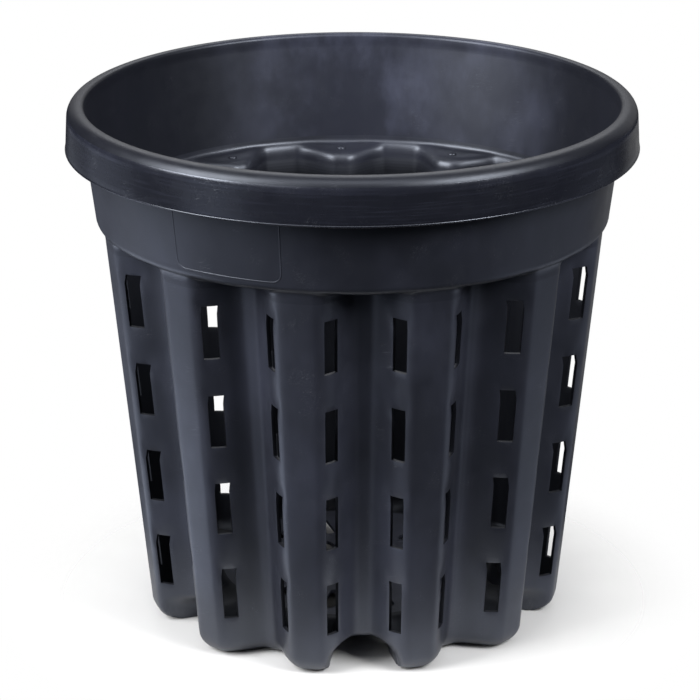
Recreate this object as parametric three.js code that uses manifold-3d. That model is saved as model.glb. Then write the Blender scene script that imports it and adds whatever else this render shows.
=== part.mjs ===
import * as THREE from "three";
import { mergeVertices } from "three/addons/utils/BufferGeometryUtils.js";
import Module from "manifold-3d";

// Root pruning pot: a thin-walled black plastic pot with a hooked rim, a round collar and, below a shelf,
// a wall of upright lobes whose flanks are slotted for air. It stands on a foot under each lobe, with an
// arch at every second valley.
// Millimetres, +Z up. The origin is the middle of the ring of feet, on the ground.

// Overall
const rimDiameter = 303; // outside of the rim, at the skirt's lower edge
const potHeight = 283;
const wall = 2;
const seam = 0.3; // clearance between neighbouring regions of the wall

// Rim and collar
const rimWidth = 9.3; // from the inside of the collar to the outside of the skirt, at the crown
const crownRound = 6.8; // rounding of the rim's top, outside
const mouthRound = 2.2; // rounding of the rim's top at the mouth, at most a third of its width
const skirtFlare = 1; // how much the skirt widens downwards, on the radius
const skirtDepth = 24.5; // from the top of the rim to the lower edge of the skirt
const collarDepth = 64.9; // from the top of the rim to the underside of the shelf
const collarTaper = 6.6; // how much the collar's radius shrinks from the crown to the shelf
const collarRound = 5; // outside rounding where the collar turns in to the shelf
const collarJoint = 3.2; // plain wall between the shelf's top and the collar above it

// Lobed wall
const lobeCount = 12;
const lobeStep = 2.7; // how far the lobes stand in from the outside of the collar
const lobeTaper = 21.3; // how much a lobe's radius shrinks from the shelf to the ground
const valleyDepth = 17.4; // how far the valleys lie in from the lobes
const crestWidthTop = 15.5; // width of a lobe's face at the shelf
const crestWidthFoot = 11; // width of a lobe's face at the ground
const valleyWidthTop = 4.2; // width of a valley's bottom at the shelf
const valleyWidthFoot = 2; // width of a valley's bottom at the ground

// Air slots, in level rows on both flanks of every lobe
const slotHeight = 29;
const slotPitch = 49.8;
const slotRise = 2.9; // plain wall between a foot and the lowest row
const slotHeadroom = 12; // least plain wall between the highest row and the shelf
const slotInsetTop = 5.9; // from the lobe's face to the slot, across the lobe, at the shelf
const slotInsetFoot = 4.6; // the same at the ground
const slotWidthTop = 6.4; // width of a slot, across the lobe, at the shelf
const slotWidthFoot = 5.4; // the same at the ground

// Shelf, with a stacking lug at each valley
const lipRound = 1; // softening of the shelf's inner edge
const lugDiameter = 5;
const lugTopDiameter = 2.5;
const lugHeight = 1.4;

// Feet, arches and raised floor
const floorLift = 15.6; // underside of the floor above the ground
const footRound = 11; // rounding where the wall turns under at a foot
const archRound = 4.5; // rounding where the wall turns under at an arch
const roundLean = 0.58; // how far a lobe's flank moves sideways for each millimetre of that rounding
const footJoint = 1; // plain wall between the roundings and the lobes above
const footReach = 8.8; // from a lobe's middle to the arch beside it
const footCorner = 2.4; // softness of the corner between a foot and its arch
const archPower = 2.5; // shape of the arches: 2 is an ellipse, higher is squarer
const archSplay = 6; // how quickly the foot's corner runs out past the arch
const footFlat = 1.5; // least flat length under a foot, at a valley without an arch
const heelLength = 10; // length over which a foot's inner end rises to the floor

// Drain slots in the floor, in two rings
const drainWidth = 7;
const drainInnerLength = 14; // length of the inner slots; the outer ones take up the rest of the floor
const drainMargin = 9; // plain floor outside the outer ring
const drainGap = 8; // plain floor between the two rings
const drainMiddle = 36; // diameter of the plain floor inside the inner ring

// Facets
const ringSides = 60;
const crownSteps = 5;
const roundSteps = 3;
const flankSteps = 5;
const heelSteps = 3;
const holeSteps = 2;
const lugSides = 10;

// Radii and heights that follow from the sizes above
const rimRadius = rimDiameter / 2;
const crownRadius = rimRadius - skirtFlare;
const mouthRadius = crownRadius - rimWidth;
const collarFootRadius = mouthRadius - collarTaper;
const crestTopRadius = collarFootRadius + wall - lobeStep;
const mouthTurn = Math.min(mouthRound, rimWidth / 3);
const crownTurn = Math.min(crownRound, rimWidth - mouthTurn - seam);
const crownBase = potHeight - crownTurn;
const skirtBase = potHeight - skirtDepth;
const shelfUnder = potHeight - collarDepth;
const shelfTop = shelfUnder + wall;
const collarBase = shelfTop + collarJoint;
const footTop = Math.max(floorLift + archRound, footRound) + footJoint;
const slotBase = footTop + slotRise;
const pitch = (2 * Math.PI) / lobeCount;

const { lerp, smoothstep, clamp } = THREE.MathUtils;

const wasm = await Module();
wasm.setup();

// A closed geometry as a solid for joining and cutting
function solidOf(geometry) {
  const bare = geometry.clone();
  bare.deleteAttribute("normal");
  bare.deleteAttribute("uv");
  const merged = mergeVertices(bare);
  return new wasm.Manifold(
    new wasm.Mesh({
      numProp: 3,
      vertProperties: new Float32Array(merged.attributes.position.array),
      triVerts: new Uint32Array(merged.index.array),
    }),
  );
}

// A solid as a geometry for the scene
function geometryOf(solid) {
  const mesh = solid.getMesh();
  const geometry = new THREE.BufferGeometry();
  geometry.setAttribute("position", new THREE.BufferAttribute(mesh.vertProperties, 3));
  geometry.setIndex(new THREE.BufferAttribute(mesh.triVerts, 1));
  return geometry;
}

// Points and triangles as a geometry
function indexed(points, triangles) {
  const geometry = new THREE.BufferGeometry().setFromPoints(points);
  geometry.setIndex(triangles);
  return geometry;
}

// A closed shell between an outer and an inner skin of points, both given by column, from left to right as
// seen from outside, and by row, from the top down
function shell(columns, rows, skinPoint) {
  const points = [];
  for (const inside of [false, true]) {
    for (let column = 0; column < columns; column++) {
      for (let row = 0; row < rows; row++) points.push(skinPoint(column, row, inside));
    }
  }
  const outer = (column, row) => column * rows + row;
  const inner = (column, row) => columns * rows + outer(column, row);
  const triangles = [];
  const quad = (a, b, c, d) => triangles.push(a, b, c, a, c, d);
  const lastColumn = columns - 1;
  const lastRow = rows - 1;
  for (let c = 0; c < lastColumn; c++) {
    for (let r = 0; r < lastRow; r++) {
      quad(outer(c, r + 1), outer(c + 1, r + 1), outer(c + 1, r), outer(c, r));
      quad(inner(c + 1, r + 1), inner(c, r + 1), inner(c, r), inner(c + 1, r));
    }
    quad(outer(c, 0), outer(c + 1, 0), inner(c + 1, 0), inner(c, 0));
    quad(inner(c, lastRow), inner(c + 1, lastRow), outer(c + 1, lastRow), outer(c, lastRow));
  }
  for (let r = 0; r < lastRow; r++) {
    quad(inner(0, r + 1), outer(0, r + 1), outer(0, r), inner(0, r));
    quad(outer(lastColumn, r + 1), inner(lastColumn, r + 1), inner(lastColumn, r), outer(lastColumn, r));
  }
  return indexed(points, triangles);
}

// A closed hoop: one loop of points for each column round the axis, anticlockwise with the axis on the left
function hoop(loops) {
  const size = loops[0].length;
  const triangles = [];
  loops.forEach((_, column) => {
    const next = (column + 1) % loops.length;
    for (let k = 0; k < size; k++) {
      const up = (k + 1) % size;
      const [a, b] = [column * size + k, next * size + k];
      const [c, d] = [next * size + up, column * size + up];
      triangles.push(a, b, c, a, c, d);
    }
  });
  return indexed(loops.flat(), triangles);
}

// A round ring from its closed profile of [radius, height] points, anticlockwise with the axis on the left
function ring(profile) {
  const points = [...profile, profile[0]].map(([radius, height]) => new THREE.Vector2(radius, height));
  return new THREE.LatheGeometry(points, ringSides).rotateX(Math.PI / 2);
}

// Points of an arc as [radius, height], from one angle to another
function arc(radius, height, round, from, to, steps = roundSteps) {
  return Array.from({ length: steps + 1 }, (_, k) => {
    const angle = lerp(from, to, k / steps);
    return [radius + round * Math.cos(angle), height + round * Math.sin(angle)];
  });
}

// A point at an angle from the front of the pot, positive to the right
function polar(radius, angle, height) {
  return new THREE.Vector3(radius * Math.sin(angle), -radius * Math.cos(angle), height);
}

// A size that changes evenly from the ground to the shelf
function alongWall(foot, top, z) {
  return lerp(foot, top, z / shelfUnder);
}

function crestRadius(z) {
  return alongWall(crestTopRadius - lobeTaper, crestTopRadius, z);
}

// Angle from a lobe's middle to the edge of its face, also where the wall is rounded in by an inset
function crestEdge(z, inset = 0) {
  const halfWidth = alongWall(crestWidthFoot, crestWidthTop, z) / 2 - roundLean * inset;
  return Math.asin(Math.max(halfWidth, wall / 4) / crestRadius(z));
}

// Angle from a lobe's middle to the edge of the valley's bottom
function valleyEdge(z, inset = 0) {
  const halfWidth = alongWall(valleyWidthFoot, valleyWidthTop, z) / 2 + roundLean * inset;
  return pitch / 2 - Math.asin(halfWidth / (crestRadius(z) - valleyDepth));
}

// Outside radius of the lobed wall at an angle from a lobe's middle
function wallRadius(angle, z, inset = 0) {
  const across = pitch / 2 - Math.abs(pitch / 2 - Math.abs(angle));
  const [start, end] = [crestEdge(z, inset), valleyEdge(z, inset)];
  const share = clamp((across - start) / (end - start), 0, 1);
  return crestRadius(z) - inset - (valleyDepth * (1 - Math.cos(share * Math.PI))) / 2;
}

// Level direction that points straight out of the lobed wall
function wallNormal(angle, z) {
  const nudge = 1e-4;
  const before = polar(wallRadius(angle - nudge, z), angle - nudge, z);
  const along = polar(wallRadius(angle + nudge, z), angle + nudge, z).sub(before).normalize();
  return new THREE.Vector3(along.y, -along.x, 0);
}

// A point of the lobed wall, a depth below its outside
function wallPoint(angle, z, depth) {
  return polar(wallRadius(angle, z), angle, z).addScaledVector(wallNormal(angle, z), -depth);
}

// Angles from a lobe's middle where the wall is divided, from its left valley to its right one
function wallAngles(z, valleyGap) {
  const half = [0];
  for (let k = 0; k <= flankSteps; k++) half.push(lerp(crestEdge(z), valleyEdge(z), k / flankSteps));
  half.push(pitch / 2 - valleyGap / 2 / wallRadius(pitch / 2, z));
  return [...half.slice(1).reverse().map((angle) => -angle), ...half];
}

// Rounded top of the rim, a channel that is open below
function rimCrown() {
  const [inside, outside] = [mouthRadius + mouthTurn, crownRadius - crownTurn];
  const mouthBase = potHeight - mouthTurn;
  const [mouthHollow, hollow] = [mouthTurn, crownTurn].map((turn) => Math.max(turn - wall, wall / 10));
  return ring([
    ...arc(outside, crownBase, crownTurn, 0, Math.PI / 2, crownSteps),
    ...arc(inside, mouthBase, mouthTurn, Math.PI / 2, Math.PI),
    [mouthRadius, crownBase],
    [mouthRadius + wall, crownBase],
    ...arc(inside, mouthBase, mouthHollow, Math.PI, Math.PI / 2, 1),
    ...arc(outside, crownBase, hollow, Math.PI / 2, 0),
  ]);
}

// Band that turns down from the crown, outside the collar
function rimSkirt() {
  return ring([
    [rimRadius - wall, skirtBase],
    [rimRadius, skirtBase],
    [crownRadius, crownBase],
    [crownRadius - wall, crownBase],
  ]);
}

// Round upper wall, from the crown down to the shelf
function collar() {
  return ring([
    [collarFootRadius, collarBase],
    [collarFootRadius + wall, collarBase],
    [mouthRadius + wall, crownBase],
    [mouthRadius, crownBase],
  ]);
}

// Inward step from the collar to the lobed wall, with a stacking lug over each valley
function shelf() {
  const outside = collarFootRadius + wall;
  const round = Math.min(collarRound, collarBase - shelfUnder);
  const loops = [];
  for (let lobe = 0; lobe < lobeCount; lobe++) {
    const angles = wallAngles(shelfUnder, 0);
    for (const angle of angles.slice(1)) {
      const lip = wallPoint(angle, shelfUnder, wall);
      const lipRadius = Math.hypot(lip.x, lip.y);
      const lipEdge = Math.min(lipRound, (collarFootRadius - lipRadius) / 2);
      const lipAngle = lobe * pitch + Math.atan2(lip.x, -lip.y);
      const profile = [
        [lipRadius, shelfUnder],
        ...arc(outside - round, shelfUnder + round, round, -Math.PI / 2, 0, roundSteps - 1),
        [outside, collarBase],
        [collarFootRadius, collarBase],
        [collarFootRadius, shelfTop],
        [lipRadius + lipEdge, shelfTop],
        [lipRadius, shelfTop - lipEdge],
      ];
      loops.push(profile.map(([radius, height]) => polar(radius, lipAngle, height)));
    }
  }
  const lugRadius = (collarFootRadius + wallRadius(pitch / 2, shelfUnder) - wall) / 2;
  let solid = solidOf(hoop(loops));
  const lugRoot = wall / 2; // how deep a lug's cone starts inside the shelf
  const lugCone = [lugTopDiameter / 2, lugDiameter / 2, lugHeight + lugRoot, lugSides];
  for (let lobe = 0; lobe < lobeCount; lobe++) {
    const lug = new THREE.CylinderGeometry(...lugCone);
    lug.rotateX(Math.PI / 2).translate(0, -lugRadius, shelfTop + (lugHeight - lugRoot) / 2);
    lug.rotateZ((lobe + 0.5) * pitch);
    solid = solid.add(solidOf(lug));
  }
  return geometryOf(solid);
}

// Block that cuts one slot through a flank: side is 1 for the right flank and -1 for the left
function slotCutter(side, low, high) {
  const edges = [low, high].map((z) => {
    const radius = crestRadius(z);
    const near = crestEdge(z) + alongWall(slotInsetFoot, slotInsetTop, z) / radius;
    const far = near + alongWall(slotWidthFoot, slotWidthTop, z) / radius;
    return side > 0 ? [near, far] : [-far, -near];
  });
  const reach = 3 * wall;
  return shell(2, 2, (column, row, inside) => {
    const z = row ? low : high;
    const angles = edges[row ? 0 : 1];
    const middle = (angles[0] + angles[1]) / 2;
    return wallPoint(angles[column], z, 0).addScaledVector(wallNormal(middle, z), inside ? -reach : reach);
  });
}

// The slotted wall of one lobe, from the valley on its left to the valley on its right
function lobe() {
  const heights = [shelfUnder, footTop];
  const angles = heights.map((z) => wallAngles(z, seam));
  const skin = shell(angles[0].length, heights.length, (column, row, inside) =>
    wallPoint(angles[row][column], heights[row], inside ? wall : 0),
  );
  let solid = solidOf(skin);
  const highest = shelfUnder - slotHeadroom - slotHeight;
  for (let low = slotBase; low <= highest; low += slotPitch) {
    for (const side of [-1, 1]) solid = solid.subtract(solidOf(slotCutter(side, low, low + slotHeight)));
  }
  return geometryOf(solid);
}

// Height of the underside at an angle from a lobe's middle: nothing under the foot, an arch on one side of
// it, right for a side of 1 and left for -1
function archHeight(angle, side) {
  if (angle * side <= 0) return 0;
  const across = pitch / 2 - Math.abs(pitch / 2 - Math.abs(angle));
  const footEdge = Math.asin(footReach / (crestRadius(0) - footRound));
  const fromValley = (pitch / 2 - across) / (pitch / 2 - footEdge);
  const arch = Math.pow(Math.max(1 - Math.pow(fromValley, archPower), 0), 1 / archPower);
  const rise = floorLift * (arch - archSplay * Math.max(fromValley - 1, 0));
  const soft = Math.min(footCorner, floorLift) / 2;
  if (rise >= soft) return rise;
  return rise <= -soft ? 0 : (rise + soft) ** 2 / (4 * soft);
}

// Radii where a foot's flat underside ends, and where its heel meets the raised floor
const flatRadius = crestRadius(footRound) - valleyDepth - footRound - footFlat;
const heelRadius = flatRadius - heelLength;

// A point on the outside of a foot. Rows run down the wall, round under it, along the flat and up the heel.
function footPoint(angle, row, side) {
  const under = archHeight(angle, side);
  if (row <= 0) return polar(wallRadius(angle, footTop), angle, footTop);
  const round = lerp(footRound, archRound, under / floorLift);
  const roundTop = under + round;
  if (row <= 1 + roundSteps) {
    const turn = ((row - 1) / roundSteps) * (Math.PI / 2);
    const inset = round * (1 - Math.cos(turn));
    return polar(wallRadius(angle, roundTop, inset), angle, roundTop - round * Math.sin(turn));
  }
  const inwards = (row - 2 - roundSteps) / heelSteps;
  const flatStart = wallRadius(angle, roundTop, round);
  if (inwards <= 0) return polar(lerp(flatStart, flatRadius, row - 1 - roundSteps), angle, under);
  const rise = smoothstep(inwards, 0, 1) * (floorLift - under);
  return polar(lerp(flatRadius, heelRadius, inwards), angle, under + rise);
}

// Direction out of the foot's skin
function footNormal(angle, row, side) {
  if (row === 0) return wallNormal(angle, footTop);
  const nudge = 1e-3;
  const lastRow = 2 + roundSteps + heelSteps;
  const across = footPoint(angle + nudge, row, side).sub(footPoint(angle - nudge, row, side));
  const below = footPoint(angle, clamp(row + nudge, 0, lastRow), side);
  const down = below.sub(footPoint(angle, row - nudge, side));
  if (row === lastRow) return new THREE.Vector3(0, 0, -1);
  return down.cross(across).normalize();
}

// The bottom of one lobe: a foot cup with half an arch on one side, and its share of the floor's edge
function foot(side) {
  const angles = wallAngles(footTop, seam);
  const rows = 3 + roundSteps + heelSteps;
  return shell(angles.length, rows, (column, row, inside) => {
    const angle = angles[column];
    return footPoint(angle, row, side).addScaledVector(footNormal(angle, row, side), inside ? -wall : 0);
  });
}

// Corners of a many-sided circle round the middle of the floor
function circle(radius, sides) {
  const turn = (2 * Math.PI) / sides;
  const corner = (k) => new THREE.Vector2(radius * Math.cos(k * turn), radius * Math.sin(k * turn));
  return Array.from({ length: sides }, (_, k) => corner(k));
}

// Rounded slot along a radius of the floor
function drainSlot(inner, outer, angle) {
  const round = drainWidth / 2;
  const path = new THREE.Path();
  const middle = (radius) => [radius * Math.cos(angle), radius * Math.sin(angle)];
  const quarter = Math.PI / 2;
  path.absarc(...middle(outer - round), round, angle - quarter, angle + quarter, false);
  path.absarc(...middle(inner + round), round, angle + quarter, angle + 3 * quarter, false);
  path.closePath();
  return path;
}

// Raised floor with a drain slot for each lobe, and shorter slots nearer the middle between the arches
function floor() {
  const edge = heelRadius - seam;
  const disc = new THREE.Shape(circle(edge, ringSides));
  const innerStart = drainMiddle / 2;
  const innerEnd = innerStart + drainInnerLength;
  for (let k = 0; k < lobeCount; k++) {
    disc.holes.push(drainSlot(innerEnd + drainGap, edge - drainMargin, k * pitch));
    if (k % 2 === 0) disc.holes.push(drainSlot(innerStart, innerEnd, (k + 0.5) * pitch));
  }
  const thickness = { depth: wall, bevelEnabled: false, curveSegments: holeSteps };
  return new THREE.ExtrudeGeometry(disc, thickness).translate(0, 0, floorLift);
}

// Each region is a mesh of its own with the same black plastic
function region(name, geometry, turn = 0) {
  const plastic = new THREE.MeshStandardMaterial({ color: 0x2b2d33, roughness: 0.55, metalness: 0 });
  const mesh = new THREE.Mesh(geometry, plastic);
  mesh.name = name;
  mesh.rotation.z = turn;
  return mesh;
}

const pot = new THREE.Group();
pot.add(region("rim_crown", rimCrown()));
pot.add(region("rim_skirt", rimSkirt()));
pot.add(region("collar", collar()));
pot.add(region("shelf", shelf()));
const lobeShape = lobe();
const footShapes = [foot(1), foot(-1)];
for (let k = 0; k < lobeCount; k++) {
  const number = String(k + 1).padStart(2, "0");
  pot.add(region("lobe_" + number, lobeShape, k * pitch));
  pot.add(region("foot_" + number, footShapes[k % 2], k * pitch));
}
pot.add(region("floor", floor()));

export default pot;
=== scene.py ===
import bmesh
import bpy
from functools import partial
from math import asin, cos, pi, radians, sin
from mathutils import Matrix, Vector


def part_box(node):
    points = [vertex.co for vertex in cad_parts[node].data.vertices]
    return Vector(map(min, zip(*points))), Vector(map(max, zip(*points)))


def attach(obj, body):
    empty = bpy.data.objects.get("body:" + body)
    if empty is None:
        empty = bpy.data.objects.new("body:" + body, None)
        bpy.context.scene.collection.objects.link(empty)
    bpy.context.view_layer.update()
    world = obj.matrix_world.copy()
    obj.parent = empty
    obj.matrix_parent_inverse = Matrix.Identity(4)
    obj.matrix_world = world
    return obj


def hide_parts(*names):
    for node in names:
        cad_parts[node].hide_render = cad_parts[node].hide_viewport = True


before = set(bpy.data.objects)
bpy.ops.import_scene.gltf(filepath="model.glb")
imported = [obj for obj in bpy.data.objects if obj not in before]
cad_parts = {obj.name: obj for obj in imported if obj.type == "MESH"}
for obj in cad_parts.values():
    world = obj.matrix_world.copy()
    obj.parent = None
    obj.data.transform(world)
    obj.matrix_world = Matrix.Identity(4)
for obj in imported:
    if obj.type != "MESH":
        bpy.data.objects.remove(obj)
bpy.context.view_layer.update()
scene = bpy.context.scene
scene.view_settings.view_transform = "Standard"
print("frame loaded:", len(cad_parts), "nodes")


# Nodes, shared by the shape trees and the materials

def setSocket(tree, socket, value):
    if isinstance(value, bpy.types.NodeSocket):
        tree.links.new(value, socket)
    else:
        socket.default_value = value


def addNode(tree, kind, sockets=None, **settings):
    node = tree.nodes.new(kind)
    for name, value in settings.items():
        setattr(node, name, value)
    for key, value in (sockets or {}).items():
        setSocket(tree, node.inputs[key], value)
    return node


def nodeValue(tree, kind, sockets=None, **settings):  # the first output of a new node
    return addNode(tree, kind, sockets, **settings).outputs[0]


def calc(tree, operation, *values):
    return nodeValue(tree, "ShaderNodeMath", dict(enumerate(values)), operation=operation)


def mapRange(tree, value, fromLow, fromHigh, toLow, toHigh, blend="LINEAR"):
    sockets = dict(enumerate((value, fromLow, fromHigh, toLow, toHigh)))
    return nodeValue(tree, "ShaderNodeMapRange", sockets, interpolation_type=blend)


def vector(tree, *parts):
    return nodeValue(tree, "ShaderNodeCombineXYZ", dict(enumerate(parts)))


def partsOf(tree, whole):
    return addNode(tree, "ShaderNodeSeparateXYZ", {0: whole}).outputs


def newTree(name, kind, inputs, outputs):
    tree = bpy.data.node_groups.new(name, kind)
    for label, socketType in inputs.items():
        tree.interface.new_socket(label, in_out="INPUT", socket_type=socketType)
    for label, socketType in outputs.items():
        tree.interface.new_socket(label, in_out="OUTPUT", socket_type=socketType)
    given = tree.nodes.new("NodeGroupInput").outputs
    result = tree.nodes.new("NodeGroupOutput").inputs
    return tree, given, result


def shapeTree(name, sizes, counts=(), objects=()):
    inputs = {"Material": "NodeSocketMaterial", **dict.fromkeys(sizes, "NodeSocketFloat")}
    inputs.update(dict.fromkeys(counts, "NodeSocketInt"))
    inputs.update(dict.fromkeys(objects, "NodeSocketObject"))
    return newTree(name, "GeometryNodeTree", inputs, {"Geometry": "NodeSocketGeometry"})


def closeTree(tree, given, result, shape):  # a shape tree ends with real faces in their material
    real = nodeValue(tree, "GeometryNodeRealizeInstances", {"Geometry": shape})
    finished = nodeValue(tree, "GeometryNodeSetMaterial", {"Geometry": real, "Material": given["Material"]})
    setSocket(tree, result["Geometry"], finished)
    return tree


def addObject(name, data):
    obj = bpy.data.objects.new(name, data)
    scene.collection.objects.link(obj)
    return obj


def treeObject(name, tree, values):
    obj = addObject(name, bpy.data.meshes.new(name))
    modifier = obj.modifiers.new(name, "NODES")
    modifier.node_group = tree
    for item in tree.interface.items_tree:
        if item.in_out == "INPUT":
            modifier[item.identifier] = values[item.name]
    return obj


def bakeShape(obj):  # the evaluated shape becomes a plain mesh
    depsgraph = bpy.context.evaluated_depsgraph_get()
    evaluated = obj.evaluated_get(depsgraph)
    mesh = bpy.data.meshes.new_from_object(evaluated, preserve_all_data_layers=True, depsgraph=depsgraph)
    obj.modifiers.clear()
    obj.data = mesh


def finishEdges(mesh, angle=38):
    mesh.shade_smooth()
    mesh.set_sharp_from_angle(angle=radians(angle))


# Sizes that the solids give

crownLow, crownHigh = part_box("rim_crown")
skirtLow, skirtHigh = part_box("rim_skirt")
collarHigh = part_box("collar")[1]
shelfLow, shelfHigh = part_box("shelf")
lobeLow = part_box("lobe_01")[0]  # the front lobe, centred on -Y
floorLow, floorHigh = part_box("floor")

wall = floorHigh.z - floorLow.z
rimRadius = skirtHigh.x  # at the skirt's lower edge
crownRadius = crownHigh.x
crownRound = crownHigh.z - crownLow.z
shelfUnder = shelfLow.z
crestTop = -lobeLow.y  # a lobe's radius at the shelf
footTop = lobeLow.z
floorLift = floorLow.z
floorEdge = floorHigh.x


# Studio: camera, lamps and stage

cameraSet = {
    "azimuth": 12.04,  # degrees to the right of the front lobe
    "distance": 1.5705,  # level distance from the pot's axis
    "height": 0.7048,
    "pitch": 19.72,  # degrees downwards
    "lens": 158.2,
    "sensor": 36,
    "shiftX": -0.0038,
    "roll": -0.08,
}


def makeCamera():
    turn = radians(cameraSet["azimuth"])
    data = bpy.data.cameras.new("camera")
    data.lens = cameraSet["lens"]
    data.sensor_width = cameraSet["sensor"]
    data.shift_x = cameraSet["shiftX"]
    camera = addObject("camera", data)
    camera.location = (
        cameraSet["distance"] * sin(turn),
        -cameraSet["distance"] * cos(turn),
        cameraSet["height"],
    )
    level = Matrix.Rotation(turn, 3, "Z") @ Matrix.Rotation(radians(90 - cameraSet["pitch"]), 3, "X")
    camera.rotation_euler = (level @ Matrix.Rotation(radians(cameraSet["roll"]), 3, "Z")).to_euler()
    scene.camera = camera


coolLight = (0.8, 0.86, 1.0)
lampSet = {  # bearing is from the camera's side, positive to the right, in degrees
    "leftSoftbox": {"bearing": -62, "rise": 34, "size": (0.8, 1.1), "watts": 35},
    "leftFill": {"bearing": -50, "rise": 32, "size": (1.5, 1.0), "watts": 6},
    "rightSoftbox": {"bearing": 51, "rise": 37, "size": (0.6, 0.65), "watts": 24},
    "topSoftbox": {"bearing": 0, "rise": 66, "size": (0.9, 0.7), "watts": 6},
    "backdropGlow": {"bearing": 170, "rise": 20, "size": (2.3, 1.1), "watts": 2.75},
    "backSoftbox": {"bearing": 178, "rise": 50, "size": (1.3, 0.9), "watts": 8.4},
    "lowLeft": {"bearing": -105, "rise": -36, "size": (1.3, 0.6), "watts": 4.5, "color": coolLight},
    "lowFrontLeft": {"bearing": -40, "rise": -36, "size": (0.7, 0.6), "watts": 0.56, "color": coolLight},
    "lowFront": {"bearing": 0, "rise": -36, "size": (0.7, 0.6), "watts": 0.1, "color": coolLight},
    "lowFrontRight": {"bearing": 40, "rise": -36, "size": (0.7, 0.6), "watts": 0.16, "color": coolLight},
    "lowRight": {"bearing": 105, "rise": -36, "size": (1.6, 0.6), "watts": 1.8, "color": coolLight},
    "skirtFarLeft": {"bearing": -140, "rise": -16, "size": (0.6, 0.4), "watts": 0.17, "color": coolLight},
    "skirtLeft": {"bearing": -108, "rise": -14, "size": (0.8, 0.4), "watts": 0.55, "color": coolLight},
    "skirtFrontLeft": {"bearing": -54, "rise": -12, "size": (0.6, 0.4), "watts": 0.67, "color": coolLight},
    "skirtRight": {"bearing": 108, "rise": -14, "size": (0.7, 0.4), "watts": 0.14, "color": coolLight},
    "skirtFarRight": {"bearing": 150, "rise": -16, "size": (0.8, 0.4), "watts": 0.3},
}
studioSet = {
    "aim": (0, 0, 0.15),
    "lampAway": 1.5,
    "wallRadius": 4.0,
    "wallSteps": 4,  # how often the sphere's faces are divided
    "wallGlow": 0.0032,
    "floorRadius": 0.23,
    "floorSides": 96,
    "floorFade": (0.1, 0.2),  # the floor melts into the white background between these radii
    "paintedShadowSpan": (0.05, 0.08),  # and a painted shadow darkens it under the pot between these radii
    "floorTone": (0.12, 0.68),  # its painted shadow grey under the pot and its own grey beside it
}


def makeLamp(name, lamp):
    turn = radians(cameraSet["azimuth"] + lamp["bearing"])
    rise = radians(lamp["rise"])
    aim = Vector(studioSet["aim"])
    data = bpy.data.lights.new(name, "AREA")
    data.shape = "RECTANGLE"
    data.size, data.size_y = lamp["size"]
    data.energy = lamp["watts"]
    data.color = lamp.get("color", (1, 1, 1))
    obj = addObject(name, data)
    heading = Vector((sin(turn) * cos(rise), -cos(turn) * cos(rise), sin(rise)))
    obj.location = aim + studioSet["lampAway"] * heading
    obj.rotation_euler = (aim - obj.location).to_track_quat("-Z", "Y").to_euler()
    obj.visible_camera = False


def newMaterial(name):
    material = bpy.data.materials.new(name)
    material.use_nodes = True
    tree = material.node_tree
    tree.nodes.clear()
    return material, tree, tree.nodes.new("ShaderNodeOutputMaterial").inputs


def floorMaterial():
    material, tree, out = newMaterial("whiteFloorPaintedShadow")
    place = tree.nodes.new("ShaderNodeTexCoord").outputs["Object"]
    away = addNode(tree, "ShaderNodeVectorMath", {0: place}, operation="LENGTH").outputs["Value"]
    fade = mapRange(tree, away, *studioSet["floorFade"], 0, 1, "SMOOTHSTEP")
    # painted shadow: the floor's colour darkens towards the middle, under the pot
    shadowedTone = mapRange(tree, away, *studioSet["paintedShadowSpan"], *studioSet["floorTone"], "SMOOTHSTEP")
    paper = nodeValue(tree, "ShaderNodeBsdfDiffuse", {"Color": shadowedTone})
    clear = tree.nodes.new("ShaderNodeBsdfTransparent").outputs[0]
    sheet = nodeValue(tree, "ShaderNodeMixShader", {0: fade, 1: paper, 2: clear})
    setSocket(tree, out["Surface"], sheet)
    return material


def wallMaterial():
    material, tree, out = newMaterial("darkStudio")
    glow = {"Color": (1, 1, 1, 1), "Strength": studioSet["wallGlow"]}
    setSocket(tree, out["Surface"], nodeValue(tree, "ShaderNodeEmission", glow))
    return material


def stageObject(name, build, size, material):
    mesh = bpy.data.meshes.new(name)
    shape = bmesh.new()
    build(shape, **size)
    shape.to_mesh(mesh)
    shape.free()
    mesh.materials.append(material)
    obj = addObject(name, mesh)
    return obj


def makeStage():
    disc = {"cap_ends": True, "segments": studioSet["floorSides"], "radius": studioSet["floorRadius"]}
    ball = {"subdivisions": studioSet["wallSteps"], "radius": studioSet["wallRadius"]}
    stageObject("studioFloor", bmesh.ops.create_circle, disc, floorMaterial())
    walls = stageObject("studioWalls", bmesh.ops.create_icosphere, ball, wallMaterial())
    walls.visible_camera = False  # the dark room round the pot stays out of the picture
    world = bpy.data.worlds.new("whiteSurround")
    world.use_nodes = True
    world.node_tree.nodes["Background"].inputs["Color"].default_value = (1, 1, 1, 1)
    scene.world = world


makeCamera()
for lampName, lampValues in lampSet.items():
    makeLamp(lampName, lampValues)
makeStage()
print("studio ready")


# Shared finishes of the plastic

def finishGroup(name, values, results):
    inputs = {"Coordinates": "NodeSocketVector", **dict.fromkeys(values, "NodeSocketFloat")}
    return newTree(name, "ShaderNodeTree", inputs, dict.fromkeys(results, "NodeSocketFloat"))


def noise(tree, place, scale, detail, roughness=0.5):
    sockets = {"Vector": place, "Scale": scale, "Detail": detail, "Roughness": roughness}
    return nodeValue(tree, "ShaderNodeTexNoise", sockets)


grainLook = {"size": 0.0011, "broadScale": 0.12}  # the broad spots' scale is a share of the fine grain's


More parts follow.
